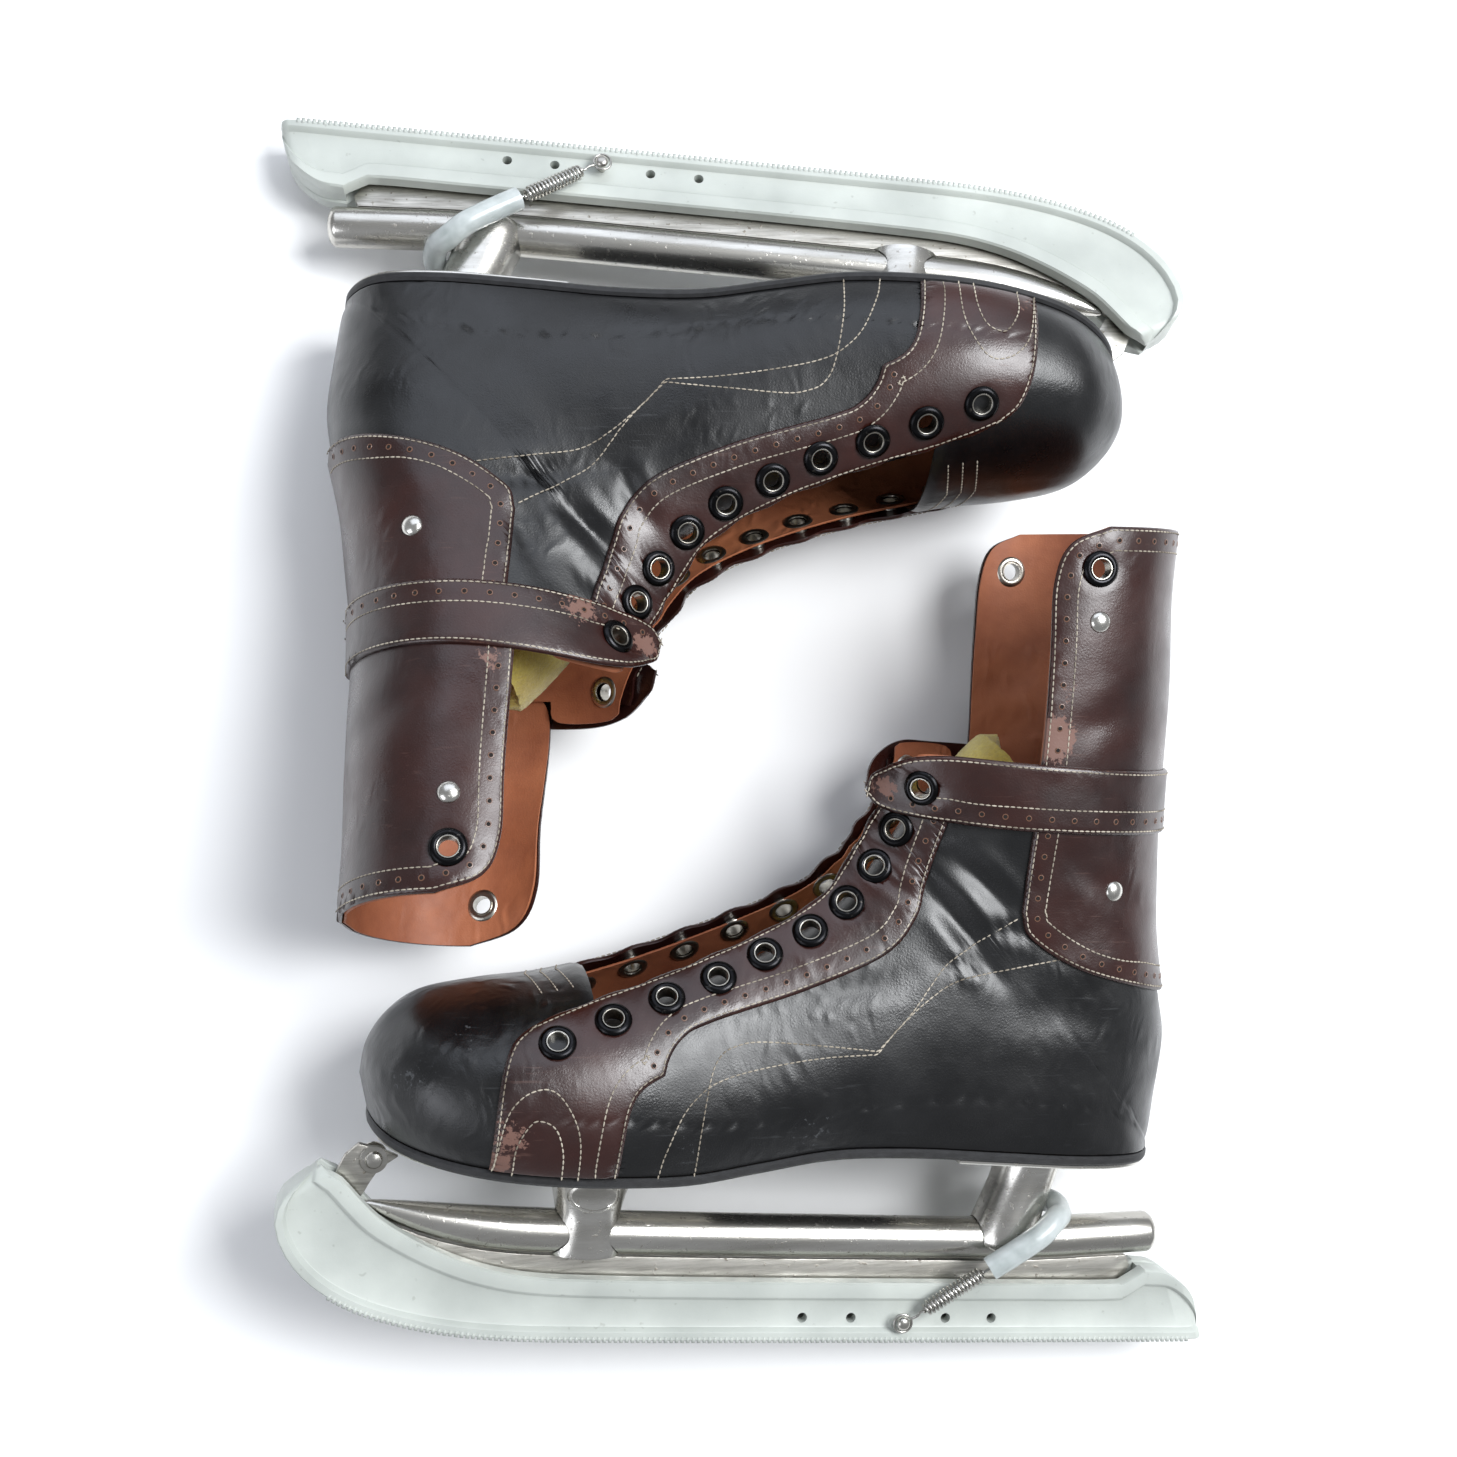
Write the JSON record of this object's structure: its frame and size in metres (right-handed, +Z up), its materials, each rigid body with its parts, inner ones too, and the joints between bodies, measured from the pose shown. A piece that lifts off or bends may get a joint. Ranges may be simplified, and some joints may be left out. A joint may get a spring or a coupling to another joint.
{
  "type": "ice skates",
  "caption": "Pair of leather tube-blade hockey skates lying on their sides head to tail, with plastic blade guards held by springs and a hose loop.",
  "frame": {"origin": "centre of the pair's footprint on the floor that the skates lie on", "axes": "+Z up, +X along the blades toward the right skate's toe, +Y from the left skate's blade toward the right skate's blade"},
  "size_m": [0.3334, 0.4354, 0.1228],
  "materials": {
    "black_leather": "smooth black full-grain leather with a soft gloss",
    "brown_leather": "dark red-brown leather, glazed, with sewn and punched edges",
    "lining_leather": "tan split leather, matt and fibrous",
    "felt": "mustard wool felt",
    "sole": "black composition sole, matt",
    "insole_board": "pressed leather board, matt",
    "eyelet_metal": "dark nickel-plated brass, worn bright on the rims",
    "rivet_metal": "nickel-plated steel rivet heads",
    "nickel_plate": "aged nickel plate, cloudy, with fine pitting",
    "blade_steel": "ground carbon steel with light stains",
    "spring_steel": "bright drawn spring wire",
    "guard_plastic": "milky white moulded polyethylene",
    "hose_plastic": "cloudy clear vinyl hose"
  },
  "bodies": {
    "left_skate": {"left_ankle_strap": "brown_leather", "left_blade": "blade_steel", "left_blade_tube": "nickel_plate", "left_counter": "brown_leather", "left_eyelets_lateral": "eyelet_metal", "left_eyelets_medial": "eyelet_metal", "left_facing_lateral": "brown_leather", "left_facing_medial": "brown_leather", "left_front_post": "nickel_plate", "left_front_sole_plate": "nickel_plate", "left_heel_plate": "nickel_plate", "left_insole": "insole_board", "left_lining": "lining_leather", "left_outsole": "sole", "left_quarter": "black_leather", "left_rear_post": "nickel_plate", "left_toe_rivet": "rivet_metal", "left_toe_strut": "blade_steel", "left_vamp": "black_leather"},
    "left_guard_body": {"left_guard": "guard_plastic", "left_guard_spring_outer": "spring_steel", "left_guard_spring_inner": "spring_steel"},
    "left_hose_body": {"left_guard_hose": "hose_plastic"},
    "left_cuff_body": {"left_cuff": "brown_leather", "left_cuff_eyelet_lateral": "eyelet_metal", "left_cuff_eyelet_medial": "eyelet_metal", "left_cuff_lining": "lining_leather", "left_cuff_stud_lateral": "rivet_metal", "left_cuff_stud_medial": "rivet_metal"},
    "left_tongue_body": {"left_tongue": "felt"},
    "right_skate": {"right_ankle_strap": "brown_leather", "right_blade": "blade_steel", "right_blade_tube": "nickel_plate", "right_counter": "brown_leather", "right_eyelets_lateral": "eyelet_metal", "right_eyelets_medial": "eyelet_metal", "right_facing_lateral": "brown_leather", "right_facing_medial": "brown_leather", "right_front_post": "nickel_plate", "right_front_sole_plate": "nickel_plate", "right_heel_plate": "nickel_plate", "right_insole": "insole_board", "right_lining": "lining_leather", "right_outsole": "sole", "right_quarter": "black_leather", "right_rear_post": "nickel_plate", "right_toe_rivet": "rivet_metal", "right_toe_strut": "blade_steel", "right_vamp": "black_leather"},
    "right_guard_body": {"right_guard": "guard_plastic", "right_guard_spring_outer": "spring_steel", "right_guard_spring_inner": "spring_steel"},
    "right_hose_body": {"right_guard_hose": "hose_plastic"},
    "right_cuff_body": {"right_cuff": "brown_leather", "right_cuff_eyelet_lateral": "eyelet_metal", "right_cuff_eyelet_medial": "eyelet_metal", "right_cuff_lining": "lining_leather", "right_cuff_stud_lateral": "rivet_metal", "right_cuff_stud_medial": "rivet_metal"},
    "right_tongue_body": {"right_tongue": "felt"}
  },
  "joints": [
    {"name": "pair_apart", "type": "slide", "parent": "left_skate", "child": "right_skate", "axis": [0, 1, 0], "range_m": [0, 0.25]},
    {"name": "left_guard_off", "type": "slide", "parent": "left_skate", "child": "left_guard_body", "axis": [-0.0696, -0.9855, -0.1547], "range_m": [0, 0.03], "stiffness_N_per_m": 200, "springref_m": -0.01},
    {"name": "left_hose_stretch", "type": "slide", "parent": "left_guard_body", "child": "left_hose_body", "axis": [0.8375, 0.5458, 0.0242], "range_m": [0, 0.0501], "deforming": ["left_guard_spring_outer", "left_guard_spring_inner"]},
    {"name": "left_cuff_flex", "type": "hinge", "parent": "left_skate", "child": "left_cuff_body", "pos_m": [0.10586, -0.01707, 0.05841], "axis": [0.0757, -0.1599, 0.9842], "range_deg": [-4, 10], "stiffness_Nm_per_rad": 1.5},
    {"name": "left_tongue_press", "type": "hinge", "parent": "left_skate", "child": "left_tongue_body", "pos_m": [-0.05956, -0.09667, 0.05821], "axis": [0.0757, -0.1599, 0.9842], "range_deg": [-6, 0], "stiffness_Nm_per_rad": 0.8},
    {"name": "right_guard_off", "type": "slide", "parent": "right_skate", "child": "right_guard_body", "axis": [0.0905, 0.9758, -0.1993], "range_m": [0, 0.03], "stiffness_N_per_m": 200, "springref_m": -0.01},
    {"name": "right_hose_stretch", "type": "slide", "parent": "right_guard_body", "child": "right_hose_body", "axis": [-0.8488, -0.5268, 0.046], "range_m": [0, 0.0501], "deforming": ["right_guard_spring_outer", "right_guard_spring_inner"]},
    {"name": "right_cuff_flex", "type": "hinge", "parent": "right_skate", "child": "right_cuff_body", "pos_m": [-0.11009, 0.01745, 0.05881], "axis": [-0.0751, 0.2062, 0.9756], "range_deg": [-4, 10], "stiffness_Nm_per_rad": 1.5},
    {"name": "right_tongue_press", "type": "hinge", "parent": "right_skate", "child": "right_tongue_body", "pos_m": [0.05694, 0.09353, 0.05558], "axis": [-0.0751, 0.2062, 0.9756], "range_deg": [-6, 0], "stiffness_Nm_per_rad": 0.8}
  ],
  "couplings": [
    {"joint": "left_hose_stretch", "follows": "left_guard_off", "ratio": 1.667},
    {"joint": "right_hose_stretch", "follows": "right_guard_off", "ratio": 1.667}
  ]
}
